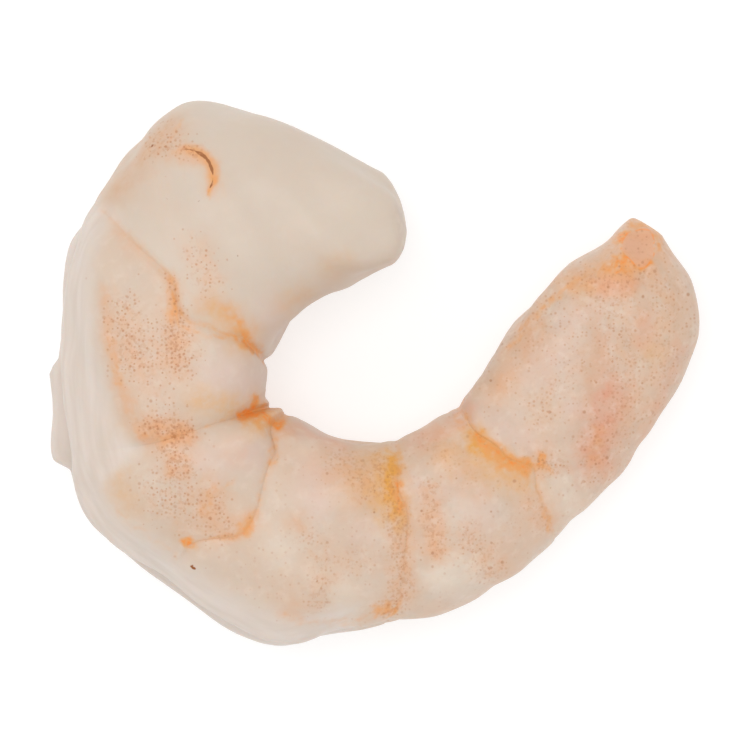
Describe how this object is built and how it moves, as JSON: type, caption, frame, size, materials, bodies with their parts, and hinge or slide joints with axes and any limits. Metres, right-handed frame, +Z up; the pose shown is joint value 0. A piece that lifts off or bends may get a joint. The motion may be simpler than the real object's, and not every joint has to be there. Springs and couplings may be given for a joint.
{
  "type": "peeled shrimp",
  "caption": "Cooked, peeled and deveined white shrimp curled into a C and lying on its flank, without head, shell, legs or tail fan; its back is slit along the vein.",
  "frame": {"origin": "on the surface that the shrimp lies on, under the middle of its outline", "axes": "+X towards the open side of the C and the tail segment, +Y from the belly of the C's lower arm towards the head end, +Z up through the flanks"},
  "size_m": [0.0506, 0.0422, 0.0146],
  "materials": {
    "shrimp_flesh": "moist, slightly translucent cooked flesh: cream white with peach and orange stains along the joints and fine red-brown dots"
  },
  "bodies": {
    "root": {"peeled_shrimp": "shrimp_flesh"}
  },
  "joints": []
}
